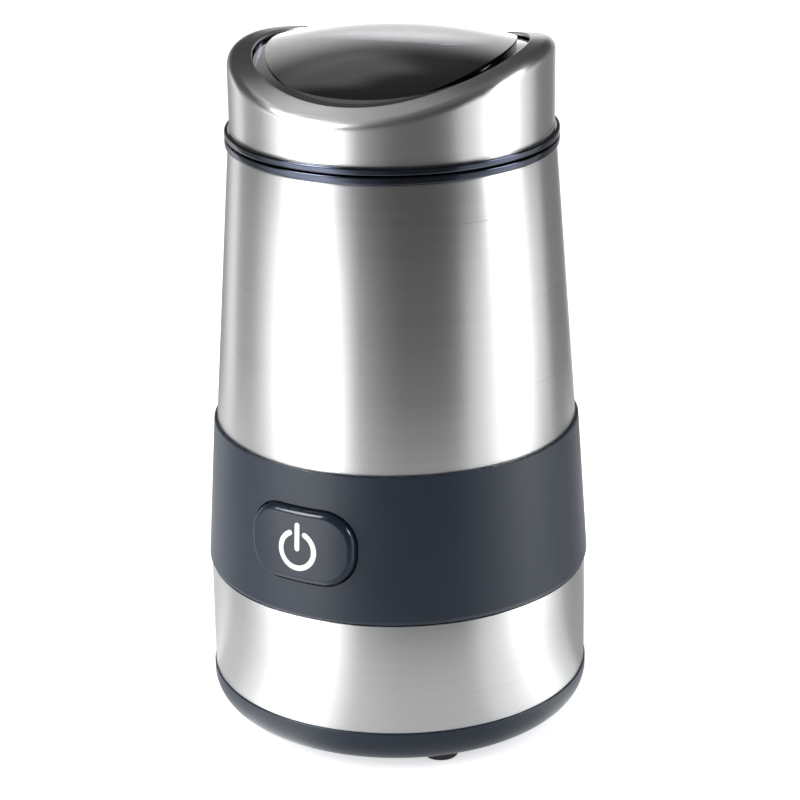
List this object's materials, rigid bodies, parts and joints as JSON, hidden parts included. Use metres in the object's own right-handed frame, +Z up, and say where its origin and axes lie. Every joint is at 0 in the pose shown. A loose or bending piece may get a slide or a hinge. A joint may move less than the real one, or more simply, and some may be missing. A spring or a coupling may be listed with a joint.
{
  "type": "electric blade grinder",
  "caption": "Upright coffee and spice grinder: lift-off domed lid, steel bowl with a spinning blade, tapered steel body, plastic band with a raised power button, universal motor inside.",
  "frame": {"origin": "on the table, under the middle of the body", "axes": "+Z up along the body's axis, -Y towards the button, +Y towards the cord inlet"},
  "size_m": [0.101, 0.1029, 0.1848],
  "materials": {
    "brushed_steel": "brushed round the axis",
    "bowl_steel": "drawn and polished",
    "blade_steel": "ground",
    "slate_plastic": "fine satin moulding",
    "smoked_clear": "smoked clear plastic, polished",
    "smoked_trim": "smoked plastic, polished",
    "symbol_white": "white inlay",
    "black_rubber": "moulded",
    "screw_steel": "zinc plated",
    "chassis_plastic": "moulded",
    "rod_plastic": "natural acetal",
    "copper": "enamelled or bare copper",
    "core_iron": "laminated",
    "bracket_alloy": "die cast",
    "bearing_bronze": "sintered",
    "brass": "pressed",
    "carbon": "pressed carbon",
    "spring_steel": "bright wire",
    "shaft_steel": "ground",
    "switch_plastic": "moulded",
    "cutout_case": "pressed case",
    "capacitor_case": "dipped",
    "lead_cover": "insulated wire"
  },
  "bodies": {
    "housing": {"base_cover": "slate_plastic", "feet": "black_rubber", "base_screws": "screw_steel", "lower_shell": "brushed_steel", "control_band": "slate_plastic", "upper_shell": "brushed_steel", "inner_housing": "chassis_plastic", "bowl_collar": "smoked_trim", "grinding_bowl": "bowl_steel", "bowl_seal": "black_rubber", "motor_mounts": "black_rubber", "mount_screws": "screw_steel", "upper_bracket": "bracket_alloy", "lower_bracket": "bracket_alloy", "stator_core": "core_iron", "field_coils": "copper", "upper_bearing": "bearing_bronze", "lower_bearing": "bearing_bronze", "brush_holders": "brass", "carbon_brushes": "carbon", "brush_springs": "spring_steel", "motor_screws": "screw_steel", "power_switch": "switch_plastic", "interlock_switch": "switch_plastic", "thermal_cutout": "cutout_case", "suppression_capacitor": "capacitor_case", "cord_inlet": "black_rubber", "internal_leads": "lead_cover", "button_spring": "spring_steel", "interlock_spring": "spring_steel"},
    "lid": {"lid_shell": "brushed_steel", "lid_dome": "smoked_clear"},
    "rotor": {"rotor_shaft": "shaft_steel", "armature_core": "core_iron", "armature_windings": "copper", "commutator": "copper", "cooling_fan": "rod_plastic", "blade_hub": "blade_steel", "blade": "blade_steel", "blade_nut": "blade_steel"},
    "button": {"power_button": "slate_plastic", "power_symbol": "symbol_white"},
    "push_rod": {"interlock_rod": "rod_plastic"},
    "power_switch_plunger": {"power_plunger": "chassis_plastic"},
    "interlock_switch_plunger": {"interlock_plunger": "chassis_plastic"}
  },
  "joints": [
    {"name": "lid_lift", "type": "slide", "parent": "housing", "child": "lid", "axis": [0, 0, 1], "range_m": [0, 0.06]},
    {"name": "rotor_spin", "type": "hinge", "parent": "housing", "child": "rotor", "pos_m": [0, 0, 0.07], "axis": [0, 0, 1], "continuous": true},
    {"name": "button_press", "type": "slide", "parent": "housing", "child": "button", "axis": [0, 1, 0], "range_m": [0, 0.002], "stiffness_N_per_m": 400, "springref_m": -0.004, "deforming": ["button_spring"]},
    {"name": "power_plunger_slide", "type": "slide", "parent": "housing", "child": "power_switch_plunger", "axis": [0, 1, 0], "range_m": [0, 0.002]},
    {"name": "push_rod_rise", "type": "slide", "parent": "housing", "child": "push_rod", "axis": [0, 0, 1], "range_m": [0, 0.003], "deforming": ["interlock_spring"]},
    {"name": "interlock_plunger_slide", "type": "slide", "parent": "housing", "child": "interlock_switch_plunger", "axis": [0, 0, 1], "range_m": [0, 0.0012]}
  ],
  "couplings": [
    {"joint": "power_plunger_slide", "follows": "button_press", "ratio": 1},
    {"joint": "push_rod_rise", "follows": "lid_lift", "ratio": 0.05},
    {"joint": "interlock_plunger_slide", "follows": "lid_lift", "ratio": 0.02}
  ]
}
